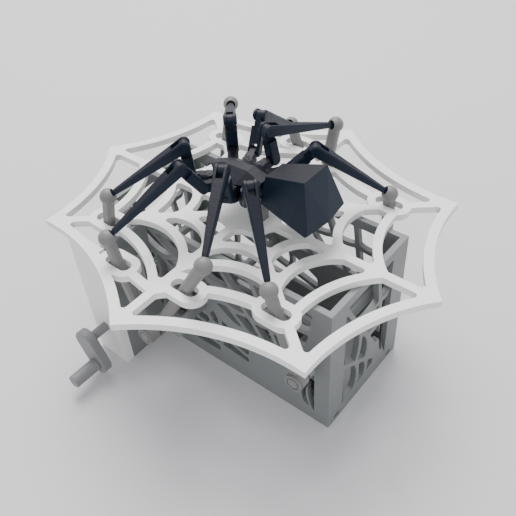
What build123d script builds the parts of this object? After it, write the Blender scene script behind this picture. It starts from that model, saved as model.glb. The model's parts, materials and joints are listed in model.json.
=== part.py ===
from build123d import *
import os
from math import acos, atan2, cos, degrees, hypot, pi, radians, sin, sqrt, tan

# Eight-legged walking spider on a web platform, driven by a hand crank. Millimetres.
# +X runs along the box frame, -Y is the side with the crank, +Z is up.
# The origin is under the middle of the web, on the surface that the frame stands on.

# ---- driving dimensions ----
WEB_TIPS = [(120, 0), (92, 74), (0, 106.5), (-92, 74), (-120, 0), (-92, -74), (0, -106.5), (92, -74)]
WEB_LEVELS = [0.15, 0.36, 0.54, 0.73, 1.0]      # rings, as shares of the distance to the tips
WEB_SAGS = [0.1, 0.2, 0.2, 0.13, 0.1]           # each ring's sag, as a share of its chord
WEB_BAR = 5.0
WEB_RIM = 5.5                                   # the outermost ring is a little wider
WEB_CORNER = 2.0
WEB_TOP = 98.0
WEB_THICKNESS = 4.0
SLOT_LENGTH = 17.0
SLOT_WIDTH = 7.4
SLOT_RIM = 4.6

FRAME_X = 81.6                                  # half length of the box frame
FRAME_Y = 37.3                                  # half width
FRAME_TOP = WEB_TOP - WEB_THICKNESS
PANEL = 3.5
POST_WIDTH = 10.0                               # plain corner strip of each panel
RAIL_LOW = 7.0
RAIL_HIGH = 6.0
RIB = 3.0

SHAFT_R = 3.0
RUNNING = 0.05                                  # radial clearance of shafts in their bearings
BEARING_R = 7.0
CRANK_Z = 48.0                                  # height of the three crankshafts
CRANK_X = {"left": -66.0, "mid": -9.5, "right": 66.0}
CRANK_THROW = 8.0
CRANK_PIN_R = 2.5
ARM_THICK = 4.0

MODULE = 1.5
CRANK_TEETH = 14
PINION_TEETH = 16
TRANSFER_TEETH = 24
IDLER_TEETH = {"first": 12, "large": 23, "last": 12}
LARGE_IDLER = (24.0, 37.0)
INPUT_X = -62.0
GEAR_WIDTH = 6.0
GEAR_GAP = 0.5
AXLE_R = 2.0

HAND_ARM_Y = -92.0                              # outer face of the hand crank's arm
HAND_ARM_THICK = 6.0
HAND_ARM_R = 8.0
HAND_THROW = 16.0
HAND_ANGLE = -65.6                              # where the arm points, from +X towards +Z
KNOB_R = 4.25
KNOB_LENGTH = 18.0

BAY_Y = -68.5                                   # outer end of the crank bay
LEG_PLATE_THICK = 5.5
LEG_PLATE_X = (-73.5, -56.0)
BAY_WALL_X = (-52.5, -49.0)

ROD_WIDTH = 6.5
ROD_THICK = 5.5
ROD_CHAMFER = 1.3
EYE_R = 5.6
BALL_R = 3.0
SOCKET_R = 4.7
SOCKET_MOUTH_R = 2.75
MOUTH_DEPTH = SOCKET_R + 2
FIT = 0.08                                      # radial clearance of the leg pins and balls
PIN_GAP = 0.55                                  # open pivot: crank pin to rod eye

FEMUR_L = 20.5
TIBIA_L = 52.5
LEG_R = 3.0                                     # half height of coxa and femur
LEG_HALF = 3.5                                  # half width of the leg bars
TONGUE_HALF = 1.7
CHEEK_GAP = 0.2
LEG_PIN_R = 1.5
COXA_L = 9.5
COXA_Z = 120.5
FEMUR_Z = 122.5
STERNUM_Z = (114.4, 117.4)

# Each leg: hip (x, y), foot ball (x, y, z), crankshaft that lifts it.
# Rods of the corner legs lie at |y| = 52; each middle crank pin carries an inner and an outer rod.
CORNER_Y = 52.0
INNER_Y = 66.5
OUTER_Y = 73.5
LEGS = {
    "l1": ((-19, -10.5), (-57, -CORNER_Y, 116.5), "left"),
    "l2": ((-10, -12.5), (-34.7, -OUTER_Y, 112.5), "mid"),
    "l3": ((-1, -12.5), (28, -INNER_Y, 121.5), "mid"),
    "l4": ((8, -10.5), (55.3, -CORNER_Y, 109.5), "right"),
    "r1": ((-19, 10.5), (-56, CORNER_Y, 125), "left"),
    "r2": ((-10, 12.5), (-25, OUTER_Y, 110), "mid"),
    "r3": ((-1, 12.5), (13, INNER_Y, 126), "mid"),
    "r4": ((8, 10.5), (60, CORNER_Y, 104.5), "right"),
}
# Where each crank pin stands at rest, in degrees from +X towards +Z.
PIN_ANGLE = {
    ("left", -1): 170, ("mid", -1): 165, ("right", -1): 50,
    ("left", 1): 190, ("mid", 1): -15, ("right", 1): 230,
}


# ---- small helpers ----
def polar(centre, radius, angle):
    return (centre[0] + radius * cos(angle), centre[1] + radius * sin(angle))


def xz(y):
    """Sketch plane facing -Y: sketch x is X, sketch y is Z."""
    return Plane(origin=(0, y, 0), x_dir=(1, 0, 0), z_dir=(0, -1, 0))


def slab(face, y_low, y_high):
    """A sketch drawn as (X, Z), filled from y_low to y_high."""
    return extrude(xz(y_high) * face, y_high - y_low)


def disc(centre, radius, y_low, y_high):
    return slab(Pos(*centre) * Circle(radius), y_low, y_high)


def stadium(start, end, width):
    """A flat bar with round ends between two points."""
    length = hypot(end[0] - start[0], end[1] - start[1])
    turn = degrees(atan2(end[1] - start[1], end[0] - start[0]))
    middle = ((start[0] + end[0]) / 2, (start[1] + end[1]) / 2)
    return Pos(*middle) * Rot(0, 0, turn) * SlotCenterToCenter(length, width)


def joined(shapes):
    total = shapes[0]
    for shape in shapes[1:]:
        total = total + shape
    return total


# ---- web pattern: straight spokes from a centre, with sagging rings between them ----
class Ring:
    """One ring's curve between two spokes, moved by an offset away from the centre."""

    def __init__(self, start, end, centre, sag, offset):
        chord = end - start
        middle = (start + end) / 2
        inward = (centre - middle).normalized()
        normal = Vector(-chord.Y, chord.X).normalized()
        if normal.dot(inward) < 0:
            normal = -normal
        rise = sag * chord.length
        self.flat = rise < 1e-6
        if self.flat:
            self.point = middle - normal * offset
            self.direction = chord.normalized()
        else:
            radius = (chord.length**2 / 4 + rise**2) / (2 * rise)
            self.centre = middle + normal * (rise - radius)
            self.radius = radius - offset

    def meet(self, point, direction, near):
        """Where a straight line meets the curve, at the crossing closest to near."""
        if self.flat:
            cross = direction.X * self.direction.Y - direction.Y * self.direction.X
            gap = self.point - point
            return point + direction * ((gap.X * self.direction.Y - gap.Y * self.direction.X) / cross)
        gap = point - self.centre
        b = gap.dot(direction)
        root = sqrt(b * b - gap.dot(gap) + self.radius**2)
        return min((point + direction * (-b + s * root) for s in (-1, 1)), key=lambda p: (p - near).length)

    def edge(self, start, end):
        if self.flat:
            return Line(start, end)
        middle = ((start + end) / 2 - self.centre).normalized() * self.radius + self.centre
        return ThreePointArc(start, middle, end)


def rounded(face, radius):
    """Rounds a face's corners, less where the face is too narrow for the full radius."""
    for share in (1, 0.5, 0.25):
        try:
            return fillet(face.vertices(), radius * share)
        except ValueError:
            continue
    return face


MIN_OPENING = 3.0                               # narrower sectors near the hub stay solid


def web_openings(centre, tips, levels, sags, bar, rim, corner):
    """The openings of a web pattern, as sketches, in the sectors between one tip and the next.
    rim is the outermost ring's width inside the tips."""
    centre = Vector(*centre)
    tips = [Vector(*tip) for tip in tips]
    openings = []
    for tip, following in zip(tips, tips[1:]):
        spokes = []
        for end, other in ((tip, following), (following, tip)):
            direction = (end - centre).normalized()
            side = Vector(-direction.Y, direction.X)
            if side.dot(other - centre) < 0:
                side = -side
            spokes.append((centre + side * bar / 2, direction))
        first_arm, second_arm = tip - centre, following - centre
        shorter = min(first_arm.length, second_arm.length)
        spread = 2 * shorter * sin(radians(first_arm.get_angle(second_arm)) / 2)
        for k in range(len(levels) - 1):
            if levels[k] * spread < bar + MIN_OPENING:
                continue
            last = k == len(levels) - 2
            rings = []
            for level, sag, offset in (
                (levels[k], sags[k], bar / 2),
                (levels[k + 1], sags[k + 1], -rim if last else -bar / 2),
            ):
                ends = [centre + (end - centre) * level for end in (tip, following)]
                rings.append((Ring(*ends, centre, sag, offset), ends))
            corners = [
                [ring.meet(*spoke, near) for spoke, near in zip(spokes, ends)] for ring, ends in rings
            ]
            outline = [
                rings[0][0].edge(corners[0][0], corners[0][1]),
                Line(corners[0][1], corners[1][1]),
                rings[1][0].edge(corners[1][1], corners[1][0]),
                Line(corners[1][0], corners[0][0]),
            ]
            openings.append(rounded(make_face(outline), corner))
    return openings


def web_outline(tips, sag):
    tips = [Vector(*tip) for tip in tips]
    edges = []
    for tip, following in zip(tips, tips[1:] + tips[:1]):
        edges.append(Ring(tip, following, Vector(0, 0), sag, 0).edge(tip, following))
    return make_face(edges)


# ---- gears ----
def pitch_radius(teeth):
    return MODULE * teeth / 2


ADDENDUM = 0.8 * MODULE
DEDENDUM = 1.15 * MODULE
PRESSURE = radians(20)
BACKLASH = 0.3
FLANK_STEPS = 3


def involute(angle):
    return tan(angle) - angle


def gear_outline(teeth, phase):
    """Stub involute teeth; one tooth is centred on the phase angle."""
    pitch = pitch_radius(teeth)
    base = pitch * cos(PRESSURE)
    root = pitch - DEDENDUM
    tip = pitch + ADDENDUM
    half = pi / (2 * teeth) - BACKLASH / 2 / pitch
    start = max(base, root)
    flank = [(root, half + involute(PRESSURE))] if root < base else []
    for step in range(FLANK_STEPS + 1):
        radius = start + (tip - start) * step / FLANK_STEPS
        flank.append((radius, half + involute(PRESSURE) - involute(acos(min(1, base / radius)))))
    points = []
    for tooth in range(teeth):
        middle = phase + 2 * pi * tooth / teeth
        points += [polar((0, 0), radius, middle - angle) for radius, angle in flank]
        points += [polar((0, 0), radius, middle + angle) for radius, angle in reversed(flank)]
    return make_face(Polyline(*points, close=True))


def between(first, second, reach_first, reach_second, side):
    """The point at given distances from two others, on the left (1) or right (-1) of the line."""
    gap = hypot(second[0] - first[0], second[1] - first[1])
    along = (reach_first**2 + gap**2 - reach_second**2) / (2 * gap)
    across = sqrt(reach_first**2 - along**2)
    ux, uz = (second[0] - first[0]) / gap, (second[1] - first[1]) / gap
    return (first[0] + along * ux - side * across * uz, first[1] + along * uz + side * across * ux)


def mesh_distance(a, b):
    return pitch_radius(a) + pitch_radius(b)


AXIS = {name: (x, CRANK_Z) for name, x in CRANK_X.items()}
AXIS["transfer"] = between(
    AXIS["left"], AXIS["mid"],
    mesh_distance(CRANK_TEETH, TRANSFER_TEETH), mesh_distance(CRANK_TEETH, TRANSFER_TEETH), -1,
)
INPUT_DROP = sqrt(mesh_distance(PINION_TEETH, TRANSFER_TEETH) ** 2 - (AXIS["transfer"][0] - INPUT_X) ** 2)
AXIS["input"] = (INPUT_X, AXIS["transfer"][1] - INPUT_DROP)
AXIS["large"] = LARGE_IDLER
AXIS["first"] = between(
    AXIS["mid"], AXIS["large"],
    mesh_distance(CRANK_TEETH, IDLER_TEETH["first"]),
    mesh_distance(IDLER_TEETH["first"], IDLER_TEETH["large"]), -1,
)
AXIS["last"] = between(
    AXIS["large"], AXIS["right"],
    mesh_distance(IDLER_TEETH["large"], IDLER_TEETH["last"]),
    mesh_distance(IDLER_TEETH["last"], CRANK_TEETH), -1,
)
TEETH = {
    "input": PINION_TEETH, "transfer": TRANSFER_TEETH,
    "left": CRANK_TEETH, "mid": CRANK_TEETH, "right": CRANK_TEETH, **IDLER_TEETH,
}
# The train, from the hand crank outwards: each gear and the one that turns it.
TRAIN = [
    ("transfer", "input"), ("left", "transfer"), ("mid", "transfer"), ("first", "mid"),
    ("large", "first"), ("last", "large"), ("right", "last"),
]


def train_phases():
    """Tooth phase of every gear, so that each pair is in mesh at rest."""
    phases = {"input": 0.0}
    for driven, driver in TRAIN:
        (x0, z0), (x1, z1) = AXIS[driver], AXIS[driven]
        line = atan2(z1 - z0, x1 - x0)
        turns = (phases[driver] - line) * TEETH[driver] / (2 * pi)
        phases[driven] = line + pi + 2 * pi / TEETH[driven] * (0.5 - turns)
    return phases


def train_ratios():
    """Speed of every gear for one turn of the hand crank."""
    ratios = {"input": 1.0}
    for driven, driver in TRAIN:
        ratios[driven] = -ratios[driver] * TEETH[driver] / TEETH[driven]
    return ratios


PHASE = train_phases()

# ---- layers along Y, from the near panel inwards ----
PANEL_INNER = -(FRAME_Y - PANEL)
GEAR_NEAR = (PANEL_INNER + GEAR_GAP, PANEL_INNER + GEAR_GAP + GEAR_WIDTH)
GEAR_DEEP = (GEAR_NEAR[1] + GEAR_GAP, GEAR_NEAR[1] + GEAR_GAP + GEAR_WIDTH)
PLATE_Y = (GEAR_DEEP[1] + GEAR_GAP, GEAR_DEEP[1] + GEAR_GAP + 3.0)


def gear(name, y_low, y_high, bore):
    blank = gear_outline(TEETH[name], PHASE[name]) - Circle(bore)
    return slab(Pos(*AXIS[name]) * blank, y_low, y_high)


# ---- leg geometry ----
def crank_pin(shaft, side):
    return polar(AXIS[shaft], CRANK_THROW, radians(PIN_ANGLE[shaft, side]))


class Leg:
    """Rest geometry of one leg: hip, femur pin, knee and foot, all in one upright plane."""

    def __init__(self, name):
        (hip_x, hip_y), foot, self.shaft = LEGS[name]
        self.side = -1 if name[0] == "l" else 1
        self.outer = abs(foot[1]) == OUTER_Y
        self.corner = abs(foot[1]) == CORNER_Y
        self.foot = Vector(*foot)
        self.hip = Vector(hip_x, hip_y, COXA_Z)
        flat = self.foot - self.hip
        self.out = Vector(flat.X, flat.Y, 0).normalized()
        self.lateral = Vector(0, 0, 1).cross(self.out)
        self.root = Vector(hip_x, hip_y, FEMUR_Z) + self.out * COXA_L
        reach = self.foot - self.root
        along = (FEMUR_L**2 + reach.length**2 - TIBIA_L**2) / (2 * reach.length)
        rise = sqrt(FEMUR_L**2 - along**2)
        upward = reach.normalized().cross(self.lateral)
        self.knee = self.root + reach.normalized() * along + upward * rise
        pin_x, pin_z = crank_pin(self.shaft, self.side)
        self.eye = Vector(pin_x, self.foot.Y, pin_z)


def hull_bar(length, radius_start, radius_end):
    """Side outline of a tapering bar with round ends, along sketch x."""
    return make_hull((Circle(radius_start).edges() + (Pos(length, 0) * Circle(radius_end)).edges()))


def plan_bar(length, half_start, half_end, overrun):
    """Plan outline of the same bar, a little longer than the bar at both ends."""
    return make_face(Polyline(
        (-overrun, -half_start), (length + overrun, -half_end),
        (length + overrun, half_end), (-overrun, half_start), close=True,
    ))


class Segment:
    """A leg bar between two pins: its own planes, and the cuts and pins of its ends."""

    def __init__(self, start, end, lateral):
        self.length = (end - start).length
        self.direction = (end - start).normalized()
        self.side_plane = Plane(origin=start, x_dir=self.direction, z_dir=lateral)
        self.plan_plane = Plane(origin=start, x_dir=self.direction, z_dir=self.side_plane.y_dir)

    def across(self, face, half):
        """A side-view sketch, filled half to each side of the leg's middle plane."""
        return extrude(self.side_plane * face, half, both=True)

    def upright(self, face, half):
        return extrude(self.plan_plane * face, half, both=True)

    def pin(self, at, radius, half):
        return self.across(Pos(at, 0) * Circle(radius), half)


LEG_CHAMFER = 0.7
ROOT_CUT = 4.3                                  # from the coxa's pin to the bottom of its fork
KNEE_CUT = 6.5                                  # deeper, since the knees fold sharply
CUT_SPAN = 20.0                                 # longer than any cut needs


def fork_cut(segment, depth):
    """The gap of a fork at the bar's start."""
    gap = Pos((depth - CUT_SPAN) / 2, 0) * Rectangle(depth + CUT_SPAN, CUT_SPAN)
    return segment.across(gap, TONGUE_HALF + CHEEK_GAP)


def tongue_cut(segment, depth):
    """What is cut away at the bar's end to leave a tongue."""
    around = Pos(segment.length + (CUT_SPAN - depth) / 2, 0) * Rectangle(depth + CUT_SPAN, CUT_SPAN)
    return segment.across(around, CUT_SPAN) - segment.across(around, TONGUE_HALF)


def leg_bar(segment, radii, halves):
    """A bar tapering in side view and in plan, with its long edges chamfered."""
    side = segment.across(hull_bar(segment.length, *radii), CUT_SPAN / 2)
    plan = segment.upright(plan_bar(segment.length, *halves, LEG_R + 1), CUT_SPAN / 2)
    bar = side & plan
    long_edges = [edge for edge in bar.edges() if edge.length > segment.length * 0.8]
    return chamfer(long_edges, LEG_CHAMFER)


COXA_R = (2.9, 3.0)                             # half heights at hip and femur pin
COXA_HALF = (2.9, 3.3)                          # half widths
COXA_HUB_R = 3.1


def make_coxa(leg):
    segment = Segment(leg.hip, leg.root, leg.lateral)
    bar = leg_bar(segment, COXA_R, COXA_HALF)
    hub_base = STERNUM_Z[1] + CHEEK_GAP
    hub_height = 2 * (COXA_Z - hub_base)
    hub = Pos(leg.hip.X, leg.hip.Y, hub_base) * Cylinder(
        COXA_HUB_R, hub_height, align=(Align.CENTER, Align.CENTER, Align.MIN)
    )
    bore = Pos(leg.hip.X, leg.hip.Y, COXA_Z) * Cylinder(LEG_PIN_R + FIT, CUT_SPAN)
    solid = bar - tongue_cut(segment, ROOT_CUT) + hub
    return solid - bore - segment.pin(segment.length, LEG_PIN_R + FIT, CUT_SPAN)


def make_femur(leg):
    segment = Segment(leg.root, leg.knee, leg.lateral)
    bar = leg_bar(segment, (LEG_R, LEG_R), (LEG_HALF, LEG_HALF))
    solid = bar - fork_cut(segment, ROOT_CUT) - tongue_cut(segment, KNEE_CUT)
    solid = solid + segment.pin(0, LEG_PIN_R, LEG_HALF)
    return solid - segment.pin(segment.length, LEG_PIN_R + FIT, CUT_SPAN)


TIBIA_R = (3.4, 1.5)
TIBIA_HALF = (3.9, 1.5)
NECK = 5.5                                      # the bar stops this far before the ball's centre
NECK_R = 1.2


def make_tibia(leg):
    segment = Segment(leg.knee, leg.foot, leg.lateral)
    bar_end = leg.foot - segment.direction * NECK
    bar = leg_bar(Segment(leg.knee, bar_end, leg.lateral), TIBIA_R, TIBIA_HALF)
    neck_plane = Plane(origin=bar_end, z_dir=segment.direction)
    neck = neck_plane * Cone(TIBIA_R[1], NECK_R, NECK, align=(Align.CENTER, Align.CENTER, Align.MIN))
    ball = Pos(*leg.foot) * Sphere(BALL_R)
    solid = bar - fork_cut(segment, KNEE_CUT) + neck + ball
    return solid + segment.pin(0, LEG_PIN_R, TIBIA_HALF[0] - 0.1)


EYE_CAP = 1.6
CAP_R = 5.1
RING_GROOVE = (3.9, 3.1)                        # radii of the ring cut into the cap
GROOVE_DEPTH = 0.6
BLIND_BORE = 3.5


def make_rod(leg):
    segment = Segment(leg.foot, leg.eye, Vector(0, -1, 0))
    bar = segment.across(Pos(segment.length / 2, 0) * Rectangle(segment.length, ROD_WIDTH), ROD_THICK / 2)
    bar = chamfer([edge for edge in bar.edges() if edge.length > segment.length * 0.8], ROD_CHAMFER)
    eye = segment.pin(segment.length, EYE_R, ROD_THICK / 2)
    solid = bar + eye + Pos(*leg.foot) * Sphere(SOCKET_R)
    mouth_plane = Plane(origin=leg.foot, z_dir=leg.knee - leg.foot)
    mouth = mouth_plane * Cylinder(
        SOCKET_MOUTH_R, MOUTH_DEPTH, align=(Align.CENTER, Align.CENTER, Align.MIN)
    )
    solid = solid - mouth - mouth_plane * Sphere(BALL_R + FIT)
    centre = (leg.eye.X, leg.eye.Z)
    inner_face = leg.foot.Y - leg.side * ROD_THICK / 2
    outer_face = leg.foot.Y + leg.side * ROD_THICK / 2
    bore_r = CRANK_PIN_R + RUNNING
    if leg.corner or leg.outer:
        cap_end = outer_face + leg.side * EYE_CAP
        cap = disc(centre, CAP_R, *sorted((outer_face, cap_end)))
        groove = slab(
            Pos(*centre) * (Circle(RING_GROOVE[0]) - Circle(RING_GROOVE[1])),
            *sorted((cap_end - leg.side * GROOVE_DEPTH, cap_end)),
        )
        bore = disc(centre, bore_r, *sorted((inner_face, inner_face + leg.side * BLIND_BORE)))
        return solid + cap - groove - bore
    return solid - disc(centre, bore_r, *sorted((inner_face, outer_face)))


# ---- crankshafts ----
PIN_STUB = 1.2
ARM_HUB_R = 6.0
ARM_END_R = 4.8


def arm_faces(shaft, side):
    """Y of the crank arm's inner and outer faces, outboard of the panel."""
    rod_plane = CORNER_Y if shaft != "mid" else INNER_Y
    outer = rod_plane - ROD_THICK / 2 - PIN_GAP - PIN_STUB
    return side * (outer - ARM_THICK), side * outer


def make_crankshaft(shaft):
    ends = [arm_faces(shaft, side)[1] for side in (-1, 1)]
    return disc(AXIS[shaft], SHAFT_R, *ends)


def make_crank_arms(shaft):
    """The two crank arms of one shaft, each with the stub of its crank pin."""
    arms = []
    for side in (-1, 1):
        inner, outer = arm_faces(shaft, side)
        pin = crank_pin(shaft, side)
        hub = Pos(*AXIS[shaft]) * Circle(ARM_HUB_R)
        web = make_hull(hub.edges() + (Pos(*pin) * Circle(ARM_END_R)).edges())
        arm = slab(web, *sorted((inner, outer))) - disc(AXIS[shaft], SHAFT_R, *sorted((inner, outer)))
        arms.append(arm + disc(pin, CRANK_PIN_R, *sorted((outer, outer + side * PIN_STUB))))
    return Compound(children=arms)


def make_crank_gear(shaft):
    return gear(shaft, *GEAR_NEAR, SHAFT_R)


IDLER_HUB_R = 4.2


def make_idler(name):
    wheel = gear(name, *GEAR_NEAR, AXLE_R + RUNNING)
    hub = Pos(*AXIS[name]) * (Circle(IDLER_HUB_R) - Circle(AXLE_R + RUNNING))
    return wheel + slab(hub, GEAR_NEAR[1], GEAR_DEEP[1])


def make_transfer_gear():
    return gear("transfer", GEAR_NEAR[0], GEAR_DEEP[1], AXLE_R + RUNNING)


def make_idler_axles():
    names = ["transfer", *IDLER_TEETH]
    return Compound(children=[disc(AXIS[name], AXLE_R, -FRAME_Y, PLATE_Y[1]) for name in names])


# ---- hand crank ----
KNOB_PIN_R = 2.0
KNOB_PIN_L = 14.0
KNOB_END = 3.0                                  # closed end of the knob
SHAFT_SEAT = 5.0                                # how far the shaft enters the arm
COLLAR_R = 5.0
EDGE = 0.6                                      # broken edges
KNOB_AXIS = polar(AXIS["input"], HAND_THROW, radians(HAND_ANGLE))


def make_drive_shaft():
    shaft = disc(AXIS["input"], SHAFT_R, HAND_ARM_Y + HAND_ARM_THICK - SHAFT_SEAT, PLATE_Y[1])
    collar = disc(AXIS["input"], COLLAR_R, GEAR_NEAR[0], GEAR_DEEP[0])
    pinion = gear("input", *GEAR_DEEP, SHAFT_R)
    return shaft + collar + pinion


def make_crank_arm():
    bar = slab(
        stadium(AXIS["input"], KNOB_AXIS, 2 * HAND_ARM_R), HAND_ARM_Y, HAND_ARM_Y + HAND_ARM_THICK
    )
    faces = bar.faces().sort_by(Axis.Y)
    bar = chamfer(faces[0].edges() + faces[-1].edges(), EDGE)
    inner = HAND_ARM_Y + HAND_ARM_THICK
    socket = disc(AXIS["input"], SHAFT_R, inner - SHAFT_SEAT, inner)
    return bar - socket + disc(KNOB_AXIS, KNOB_PIN_R, HAND_ARM_Y - KNOB_PIN_L, HAND_ARM_Y)


def make_crank_knob():
    end = HAND_ARM_Y - CHEEK_GAP - KNOB_LENGTH
    knob = disc(KNOB_AXIS, KNOB_R, end, HAND_ARM_Y - CHEEK_GAP)
    knob = chamfer(knob.faces().sort_by(Axis.Y)[0].edges(), EDGE)
    return knob - disc(KNOB_AXIS, KNOB_PIN_R + RUNNING, end + KNOB_END, HAND_ARM_Y)


# ---- box frame ----
# Each panel carries a web whose hub sits low, near one corner; its rings are shares of the spokes.
PANEL_LEVELS = [0.12, 0.27, 0.45, 0.63, 0.82, 1.0]
END_LEVELS = [0.22, 0.45, 0.7, 1.0]
PANEL_SAG = 0.12
PANEL_CORNER = 1.0
SIDE_HUB = (60.0, 12.0)
END_HUB = (19.0, 13.0)


def web_panel(low, high, hub, tips_left, tips_top, tips_right, levels):
    """A panel from low to high, with a web in the field inside its corner strips and rails."""
    x_low, x_high = low + POST_WIDTH, high - POST_WIDTH
    z_low, z_high = RAIL_LOW, FRAME_TOP - RAIL_HIGH
    tips = [(x_low, z_low)] + [(x_low, z) for z in tips_left] + [(x_low, z_high)]
    tips += [(x, z_high) for x in tips_top] + [(x_high, z_high)]
    tips += [(x_high, z) for z in tips_right] + [(x_high, z_low)]
    sags = [PANEL_SAG] * (len(levels) - 1) + [0.0]
    outline = Pos((low + high) / 2, FRAME_TOP / 2) * Rectangle(high - low, FRAME_TOP)
    return outline - web_openings(hub, tips, levels, sags, RIB, 0.0, PANEL_CORNER)


STRAP = 4.0
NEAR_BEARINGS = ["input", "left", "transfer", "mid", "first", "large", "last", "right"]
FAR_BEARINGS = ["left", "mid", "right"]


def bearing_hole(name):
    """Axles are fixed in their holes; shafts run in theirs."""
    on_axle = name in IDLER_TEETH or name == "transfer"
    return Pos(*AXIS[name]) * Circle(AXLE_R if on_axle else SHAFT_R + RUNNING)


def make_side_panel(side):
    face = web_panel(
        -FRAME_X, FRAME_X, SIDE_HUB, (24, 48), (-46, -20, 6, 30, 50), (48,), PANEL_LEVELS
    )
    names = NEAR_BEARINGS if side < 0 else FAR_BEARINGS
    straps = [stadium(AXIS[a], AXIS[b], STRAP) for a, b in zip(names, names[1:])]
    bosses = [Pos(*AXIS[name]) * Circle(BEARING_R) for name in names]
    face = joined([face, *straps, *bosses])
    for name in names:
        face = face - bearing_hole(name)
    if side < 0:
        return slab(face, -FRAME_Y, -FRAME_Y + PANEL)
    return slab(face, FRAME_Y - PANEL, FRAME_Y)


KEY_SLOT = (5.0, 2.2)


def make_end_panel(side):
    half = FRAME_Y - PANEL
    face = web_panel(-half, half, END_HUB, (42,), (8,), (), END_LEVELS)
    for y in (-1, 1):
        face = face - Pos(y * (half - POST_WIDTH / 2), RAIL_LOW / 2) * Rectangle(*KEY_SLOT)
    x_low = FRAME_X - PANEL if side > 0 else -FRAME_X
    return extrude(Plane(origin=(x_low, 0, 0), x_dir=(0, 1, 0), z_dir=(1, 0, 0)) * face, PANEL)


def upright_box(x_range, y_range, z_range):
    low = Vector(x_range[0], y_range[0], z_range[0])
    size = Vector(x_range[1], y_range[1], z_range[1]) - low
    return Pos(*low) * Box(size.X, size.Y, size.Z, align=(Align.MIN, Align.MIN, Align.MIN))


PLATE_TOP = 70.0
LOW_HOLES = ((-40, -5, 28, 60), 14, (18, 10))   # x of each, shared z, length and width
HIGH_HOLES = ((-38, 14, 46), 60, (20, 8))
FOOT_X = (-8.0, 8.0)
FOOT_HEIGHT = 4.0


def make_gear_plate():
    """Inner bearing plate between the end panels, with a cross foot to both side panels."""
    half = FRAME_X - PANEL
    outline = Pos(0, PLATE_TOP / 2) * Rectangle(2 * half, PLATE_TOP)
    face = outline
    for across, height, size in (LOW_HOLES, HIGH_HOLES):
        face = face - [Pos(x, height) * SlotCenterToCenter(*size) for x in across]
    for name in AXIS:
        face = face - bearing_hole(name)
    plate = slab(face, *PLATE_Y)
    foot = upright_box(FOOT_X, (PANEL_INNER, -PANEL_INNER), (0, FOOT_HEIGHT))
    return plate + foot


BAY_WINDOW = (15.0, 34.0)
WINDOW_Z = 58.0
WINDOW_CORNER = 4.0


def make_bay_wall():
    middle = (BAY_Y - FRAME_Y) / 2
    face = Pos(middle, FRAME_TOP / 2) * Rectangle(-FRAME_Y - BAY_Y, FRAME_TOP)
    window = Pos(middle, WINDOW_Z) * Rectangle(*BAY_WINDOW)
    face = face - fillet(window.vertices(), WINDOW_CORNER)
    plane = Plane(origin=(BAY_WALL_X[0], 0, 0), x_dir=(0, 1, 0), z_dir=(1, 0, 0))
    return extrude(plane * face, BAY_WALL_X[1] - BAY_WALL_X[0])


def make_leg_plate():
    plate = upright_box((LEG_PLATE_X[0], BAY_WALL_X[1]), (BAY_Y - LEG_PLATE_THICK, BAY_Y), (0, FRAME_TOP))
    return plate - disc(AXIS["input"], SHAFT_R + RUNNING, BAY_Y - LEG_PLATE_THICK, BAY_Y)


# ---- web platform ----
def rod_crossing(leg):
    """Where the rod's middle line passes the web's middle height."""
    share = (leg.foot.Z - (WEB_TOP - WEB_THICKNESS / 2)) / (leg.foot.Z - leg.eye.Z)
    return (leg.foot.X + (leg.eye.X - leg.foot.X) * share, leg.foot.Y)


def make_web(legs):
    face = web_outline(WEB_TIPS, WEB_SAGS[-1]) - web_openings(
        (0, 0), WEB_TIPS + WEB_TIPS[:1], WEB_LEVELS, WEB_SAGS, WEB_BAR, WEB_RIM, WEB_CORNER
    )
    bosses = []
    for leg in legs.values():
        crossing = rod_crossing(leg)
        bosses.append(Pos(*crossing) * SlotOverall(SLOT_LENGTH + 2 * SLOT_RIM, SLOT_WIDTH + 2 * SLOT_RIM))
        if leg.outer:
            node = (0, leg.side * WEB_TIPS[2][1] * WEB_LEVELS[3])
            bosses.append(stadium(crossing, node, WEB_BAR))
    face = joined([face] + bosses)
    slots = [Pos(*rod_crossing(leg)) * SlotOverall(SLOT_LENGTH, SLOT_WIDTH) for leg in legs.values()]
    return extrude(Plane.XY.offset(WEB_TOP - WEB_THICKNESS) * (face - slots), WEB_THICKNESS)


# ---- spider body: convex faceted shells, each cut from a block by its facets ----
def faceted(block, inside, facets):
    """Keeps the part of the block on the inner side of every facet plane."""
    solid = block
    for a, b, c in facets:
        a, b, c = Vector(*a), Vector(*b), Vector(*c)
        normal = (b - a).cross(c - a).normalized()
        if normal.dot(Vector(*inside) - a) > 0:
            normal = -normal
        solid = split(solid, Plane(origin=a, z_dir=normal), keep=Keep.BOTTOM)
    return solid


def mirrored(facets):
    """The facets and their mirror images across the body's middle plane."""
    return facets + [tuple((x, -y, z) for x, y, z in facet) for facet in facets]


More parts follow.
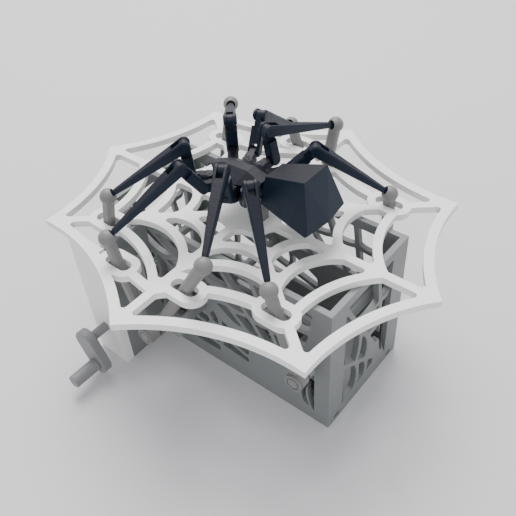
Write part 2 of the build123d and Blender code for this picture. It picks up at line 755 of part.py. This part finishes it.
def make_abdomen():
    top_front, top_rear = (19.1, -7.2, 134.4), (45.6, -9.8, 142.6)
    low_front, low_rear = (17.7, -8.0, 116.6), (52.3, -16.5, 116.9)
    flank, tail = (39.5, -15.4, 117.0), (54.0, 0, 116.3)
    keel_front, keel_rear = (23.0, -3.0, 110.5), (45.0, -5.0, 107.5)
    across = [(x, -y, z) for x, y, z in (top_front, top_rear, low_front, keel_front, keel_rear)]
    single = [
        (top_front, top_rear, across[0]), (top_front, low_front, across[0]),
        (top_rear, across[1], tail), (keel_front, keel_rear, across[3]),
        (low_front, keel_front, across[2]),
    ]
    paired = [
        (top_front, top_rear, flank), (top_rear, flank, low_rear), (top_rear, low_rear, tail),
        (low_front, flank, keel_rear), (low_rear, tail, keel_rear),
    ]
    block = upright_box((10, 60), (-25, 25), (100, 150))
    gem = faceted(block, (35, 0, 122), single + mirrored(paired))
    neck = Plane(origin=(13.0, 0, 121), z_dir=(1, 0, 0)) * Cylinder(
        3.2, 8, align=(Align.CENTER, Align.CENTER, Align.MIN)
    )
    return gem + neck


SHELL_BASE = STERNUM_Z[1]
SHELL_WAIST = 123.9


def make_cephalothorax():
    crown = faceted(
        upright_box((-30, 13), (-15, 15), (SHELL_WAIST, 135)), (-6, 0, 125),
        [((-15, 2, 128), (-15, -2, 128), (3, 2, 129)), ((3, 2, 129), (3, -2, 129), (13, 4, 125.5)),
         ((-24, 3, SHELL_WAIST), (-24, -3, SHELL_WAIST), (-15, 2, 128))]
        + mirrored([
            ((-15, -2.5, 128), (3, -3, 129), (-2, -10.8, SHELL_WAIST)),
            ((-24, -3, SHELL_WAIST), (-15, -9.5, SHELL_WAIST), (-15, -2.5, 128)),
            ((-15, -9.5, SHELL_WAIST), (-6, -11.0, SHELL_WAIST), (-15, -2.5, 128)),
            ((3, -3, 129), (2, -10.6, SHELL_WAIST), (13, -4.5, 125)),
        ]),
    )
    core_outline = [(-23, 3), (-15, 6.2), (-6, 8.6), (0, 8.6), (8, 6.2), (13, 4)]
    core = make_face(Polyline(*core_outline, *[(x, -y) for x, y in reversed(core_outline)], close=True))
    core = extrude(Plane.XY.offset(SHELL_BASE) * core, SHELL_WAIST - SHELL_BASE)
    hips = [hip for hip, _, _ in LEGS.values()]
    plate = joined(
        [Pos(*hip) * Circle(LEG_R + 0.6) for hip in hips] + [stadium((x, y), (-6, 0), 8) for x, y in hips]
    )
    sternum = extrude(Plane.XY.offset(STERNUM_Z[0]) * plate, STERNUM_Z[1] - STERNUM_Z[0])
    pins = [
        Pos(x, y, STERNUM_Z[1]) * Cylinder(
            LEG_PIN_R, 2 * (COXA_Z - STERNUM_Z[1]), align=(Align.CENTER, Align.CENTER, Align.MIN)
        ) for x, y in hips
    ]
    return joined([crown, core, sternum, *pins])


POST_X = (5.0, 12.0)
POST_HALF = 3.5


def make_body_post():
    post = upright_box(POST_X, (-POST_HALF, POST_HALF), (WEB_TOP, STERNUM_Z[0]))
    return chamfer(post.edges().filter_by(Axis.Z), 1.2)


# ---- all pieces ----
def build():
    legs = {name: Leg(name) for name in LEGS}
    pieces = {
        "web_platform": make_web(legs),
        "side_panel_near": make_side_panel(-1),
        "side_panel_far": make_side_panel(1),
        "end_panel_left": make_end_panel(-1),
        "end_panel_right": make_end_panel(1),
        "bay_wall": make_bay_wall(),
        "crank_leg_plate": make_leg_plate(),
        "gear_plate": make_gear_plate(),
        "idler_axles": make_idler_axles(),
        "body_post": make_body_post(),
        "cephalothorax": make_cephalothorax(),
        "abdomen": make_abdomen(),
        "drive_shaft": make_drive_shaft(),
        "crank_arm": make_crank_arm(),
        "crank_knob": make_crank_knob(),
        "transfer_gear": make_transfer_gear(),
    }
    for name in IDLER_TEETH:
        pieces[f"idler_gear_{name}"] = make_idler(name)
    for shaft in CRANK_X:
        pieces[f"crankshaft_{shaft}"] = make_crankshaft(shaft)
        pieces[f"crank_gear_{shaft}"] = make_crank_gear(shaft)
        pieces[f"crank_arms_{shaft}"] = make_crank_arms(shaft)
    for name, leg in legs.items():
        pieces[f"coxa_{name}"] = make_coxa(leg)
        pieces[f"femur_{name}"] = make_femur(leg)
        pieces[f"tibia_{name}"] = make_tibia(leg)
        pieces[f"leg_rod_{name}"] = make_rod(leg)
    return pieces


os.makedirs("parts", exist_ok=True)
for piece_name, piece in build().items():
    export_step(piece, f"parts/{piece_name}.step")
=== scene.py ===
import json
import math

import bpy
from mathutils import Matrix, Vector

# Looks of a hand-cranked spider automaton: printed plastics, pale floor, soft studio light.
# Everything is in metres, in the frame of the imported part.

# ---- camera ----
CAMERA_AT = (0.1961, -0.2170, 0.3294)
CAMERA_AZIMUTH = math.radians(41.56)
CAMERA_HEIGHT = math.radians(42.45)
CAMERA_ROLL = math.radians(-4.06)
FOCAL_LENGTH = 45.47                            # mm on a 36 mm wide sensor

# ---- colours, linear ----
WEB_WHITE = (0.87, 0.86, 0.845)
FRAME_GREY = (0.19, 0.20, 0.20)
ROD_GREY = (0.19, 0.187, 0.184)
CRANK_GREY = (0.21, 0.21, 0.215)
# painted sheen: purple for faces turned up and blue for faces turned sideways, lit and shaded looks of
# one dark plastic
SPIDER_TOP_PAINTED_SHEEN_PURPLE = (0.006, 0.005, 0.012)
SPIDER_SIDE_PAINTED_SHEEN_BLUE = (0.003, 0.012, 0.027)
FLOOR_GREY = (0.66, 0.65, 0.665)

# ---- textures; scales are per metre ----
LAYER_RADIAN = 0.00028                          # height over which the layer wave turns one radian
WAVE_FACTOR = 20                                # the wave texture's own factor on its scale
LAYER_RELIEF = 0.00005                          # depth of the layer lines
LAYER_STRENGTH = 0.25
SPIDER_LAYER_STRENGTH = 0.3
BLOTCH_SCALE = 60                               # shade differences of printed plastic
GLOSS_SCALE = 180
GLOSS_SWING = 0.06                              # roughness varies this much each way
GRAIN_SCALE = 2600
GRAIN_STRENGTH = 0.12
GRAIN_RELIEF = 0.0002
TINT_SCALE = 45                                 # random patches of the spider's colour
TINT_SWING = 0.25
PAINTED_SHEEN_FACING = (0.35, 0.95)                      # painted sheen: upward part of the normal, from all blue to all purple
SPIDER_GLOSS_SCALE = 220
SPIDER_ROUGHNESS = (0.42, 0.58)
SPIDER_SPECULAR = 0.32
SCAR_SCALE = (500, 500, 1600)                   # print scars, flattened along Z
SCAR_STRENGTH = 0.35
SCAR_RELIEF = 0.0003

# ---- studio ----
FLOOR_SPAN = 6
FLOOR_ROUGHNESS = 0.9
FLOOR_SPECULAR = 0.1
SKY_COLOUR = (0.95, 0.97, 1.0)
SKY_STRENGTH = 0.92
KEY_LIGHT = dict(location=(-0.55, 0.55, 1.5), target=(0, 0, 0.05), size=1.1, power=38)
FILL_LIGHT = dict(location=(0.9, -0.9, 0.9), target=(0, 0, 0.08), size=0.9, power=3)


def camera_matrix():
    """Camera axes from its azimuth and height around the object, then rolled about the view axis."""
    back = Vector((
        math.sin(CAMERA_AZIMUTH) * math.cos(CAMERA_HEIGHT),
        -math.cos(CAMERA_AZIMUTH) * math.cos(CAMERA_HEIGHT),
        math.sin(CAMERA_HEIGHT),
    ))
    level = Vector((math.cos(CAMERA_AZIMUTH), math.sin(CAMERA_AZIMUTH), 0))
    above = back.cross(level)
    cosine, sine = math.cos(CAMERA_ROLL), math.sin(CAMERA_ROLL)
    right = cosine * level + sine * above
    up = cosine * above - sine * level
    matrix = Matrix((right, up, back)).transposed().to_4x4()
    matrix.translation = CAMERA_AT
    return matrix


def add_camera():
    data = bpy.data.cameras.new("camera")
    data.sensor_width = 36
    data.lens = FOCAL_LENGTH
    data.clip_start = 0.01
    camera = bpy.data.objects.new("camera", data)
    bpy.context.collection.objects.link(camera)
    camera.matrix_world = camera_matrix()
    bpy.context.scene.camera = camera


# ---- shader helpers ----
class Shader:
    """A new material with short calls to add and link its nodes."""

    def __init__(self, name):
        self.material = bpy.data.materials.new(name)
        self.material.use_nodes = True
        self.tree = self.material.node_tree
        self.surface = self.tree.nodes["Principled BSDF"]

    def add(self, kind, **inputs):
        node = self.tree.nodes.new(kind)
        for name, value in inputs.items():
            self.feed(node.inputs[name.replace("_", " ")], value)
        return node

    def feed(self, socket, value):
        if isinstance(value, bpy.types.NodeSocket):
            self.tree.links.new(value, socket)
        else:
            socket.default_value = value

    def set(self, **inputs):
        for name, value in inputs.items():
            self.feed(self.surface.inputs[name.replace("_", " ")], value)

    def coordinates(self):
        return self.add("ShaderNodeTexCoord").outputs["Object"]

    def noise(self, scale, detail, vector=None):
        node = self.add("ShaderNodeTexNoise", Scale=scale, Detail=detail, Roughness=0.6)
        self.feed(node.inputs["Vector"], vector or self.coordinates())
        return node.outputs["Fac"]

    def stretched(self, scale):
        """Object coordinates scaled differently along each axis."""
        node = self.add("ShaderNodeMapping", Scale=scale)
        self.feed(node.inputs["Vector"], self.coordinates())
        return node.outputs["Vector"]

    def spread(self, value, low, high):
        """Maps 0..1 to low..high."""
        node = self.add("ShaderNodeMapRange", Value=value, To_Min=low, To_Max=high)
        return node.outputs["Result"]

    def between(self, share, first, second):
        node = self.add("ShaderNodeMix")
        node.data_type = "RGBA"
        self.feed(node.inputs[0], share)
        self.feed(node.inputs[6], (*first, 1))
        self.feed(node.inputs[7], (*second, 1))
        return node.outputs[2]

    def layers(self):
        """Lines of the print layers, as bands along Z."""
        scale = 1 / LAYER_RADIAN / WAVE_FACTOR
        node = self.add("ShaderNodeTexWave", Scale=scale, Distortion=0.4, Detail=1.0)
        node.bands_direction = "Z"
        self.feed(node.inputs["Vector"], self.coordinates())
        return node.outputs["Fac"]

    def bump(self, height, strength, distance, under=None):
        node = self.add("ShaderNodeBump", Height=height, Strength=strength, Distance=distance)
        if under is not None:
            self.feed(node.inputs["Normal"], under)
        return node.outputs["Normal"]


def printed_plastic(name, colour, roughness, shade=0.12):
    """Matte printed plastic: small shade differences, layer lines and a faint grain."""
    shader = Shader(name)
    darker = tuple(channel * (1 - shade) for channel in colour)
    lighter = tuple(min(1, channel * (1 + shade)) for channel in colour)
    glossier, duller = roughness - GLOSS_SWING, roughness + GLOSS_SWING
    shader.set(
        Base_Color=shader.between(shader.noise(BLOTCH_SCALE, 3), darker, lighter),
        Roughness=shader.spread(shader.noise(GLOSS_SCALE, 2), glossier, duller),
    )
    grain = shader.bump(shader.noise(GRAIN_SCALE, 2), GRAIN_STRENGTH, GRAIN_RELIEF)
    shader.set(Normal=shader.bump(shader.layers(), LAYER_STRENGTH, LAYER_RELIEF, grain))
    return shader.material


def dark_plastic_with_painted_sheen(name):
    """Dark plastic with painted sheen: purple painted on faces turned up, blue on faces turned
    sideways, for the colour shift that light gives; random patches on top.
    """
    shader = Shader(name)
    # painted sheen: the colour follows which way each face is turned, as light would fall on it, plus
    # random patches
    normal = shader.add("ShaderNodeNewGeometry").outputs["True Normal"]
    upward = shader.add("ShaderNodeSeparateXYZ", Vector=normal).outputs["Z"]
    low, high = PAINTED_SHEEN_FACING
    painted_sheen_facing = shader.add("ShaderNodeMapRange", Value=upward, From_Min=low, From_Max=high)
    painted_sheen_and_patches = shader.add("ShaderNodeMath", Value=painted_sheen_facing.outputs["Result"])
    painted_sheen_and_patches.operation = "ADD"
    shader.feed(painted_sheen_and_patches.inputs[1], shader.spread(shader.noise(TINT_SCALE, 3), -TINT_SWING, TINT_SWING))
    shader.set(
        Base_Color=shader.between(painted_sheen_and_patches.outputs["Value"], SPIDER_SIDE_PAINTED_SHEEN_BLUE, SPIDER_TOP_PAINTED_SHEEN_PURPLE),
        Roughness=shader.spread(shader.noise(SPIDER_GLOSS_SCALE, 2), *SPIDER_ROUGHNESS),
        Specular_IOR_Level=SPIDER_SPECULAR,
    )
    scar_noise = shader.noise(1, 4, shader.stretched(SCAR_SCALE))
    scars = shader.bump(scar_noise, SCAR_STRENGTH, SCAR_RELIEF)
    shader.set(Normal=shader.bump(shader.layers(), SPIDER_LAYER_STRENGTH, LAYER_RELIEF, scars))
    return shader.material


def dress(frame):
    """Gives every piece the material of its slot in the record."""
    materials = {
        "web_white": printed_plastic("web_white", WEB_WHITE, 0.5, shade=0.03),
        "frame_grey": printed_plastic("frame_grey", FRAME_GREY, 0.48),
        "gear_grey": printed_plastic("gear_grey", FRAME_GREY, 0.46),
        "rod_grey": printed_plastic("rod_grey", ROD_GREY, 0.5),
        "crank_grey": printed_plastic("crank_grey", CRANK_GREY, 0.5),
        "spider_blue": dark_plastic_with_painted_sheen("spider_blue"),
    }
    for entry in frame["record"]["subparts"]:
        mesh = frame["nodes"][entry["node"]].data
        mesh.materials.clear()
        mesh.materials.append(materials[entry["material_slot"]])


# ---- floor and lights ----
def add_floor():
    bpy.ops.mesh.primitive_plane_add(size=FLOOR_SPAN, location=(0, 0, 0))
    floor = bpy.context.object
    floor.name = "floor"
    shader = Shader("floor")
    shader.set(
        Base_Color=(*FLOOR_GREY, 1), Roughness=FLOOR_ROUGHNESS, Specular_IOR_Level=FLOOR_SPECULAR
    )
    floor.data.materials.append(shader.material)


def area_light(name, location, target, size, power):
    data = bpy.data.lights.new(name, "AREA")
    data.shape = "DISK"
    data.size = size
    data.energy = power
    light = bpy.data.objects.new(name, data)
    bpy.context.collection.objects.link(light)
    light.location = location
    light.rotation_euler = (Vector(target) - Vector(location)).to_track_quat("-Z", "Y").to_euler()


def add_lights():
    world = bpy.context.scene.world or bpy.data.worlds.new("world")
    bpy.context.scene.world = world
    world.use_nodes = True
    background = world.node_tree.nodes["Background"]
    background.inputs["Color"].default_value = (*SKY_COLOUR, 1)
    background.inputs["Strength"].default_value = SKY_STRENGTH
    area_light("key", **KEY_LIGHT)
    area_light("fill", **FILL_LIGHT)


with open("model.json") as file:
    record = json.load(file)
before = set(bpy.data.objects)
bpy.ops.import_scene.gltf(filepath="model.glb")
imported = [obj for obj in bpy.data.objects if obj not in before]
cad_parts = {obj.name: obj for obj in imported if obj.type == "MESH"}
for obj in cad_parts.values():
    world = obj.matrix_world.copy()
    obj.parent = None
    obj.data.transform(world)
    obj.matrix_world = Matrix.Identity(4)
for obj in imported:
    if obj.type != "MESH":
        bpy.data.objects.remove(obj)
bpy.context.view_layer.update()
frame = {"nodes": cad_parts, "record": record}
dress(frame)
add_floor()
add_lights()
add_camera()
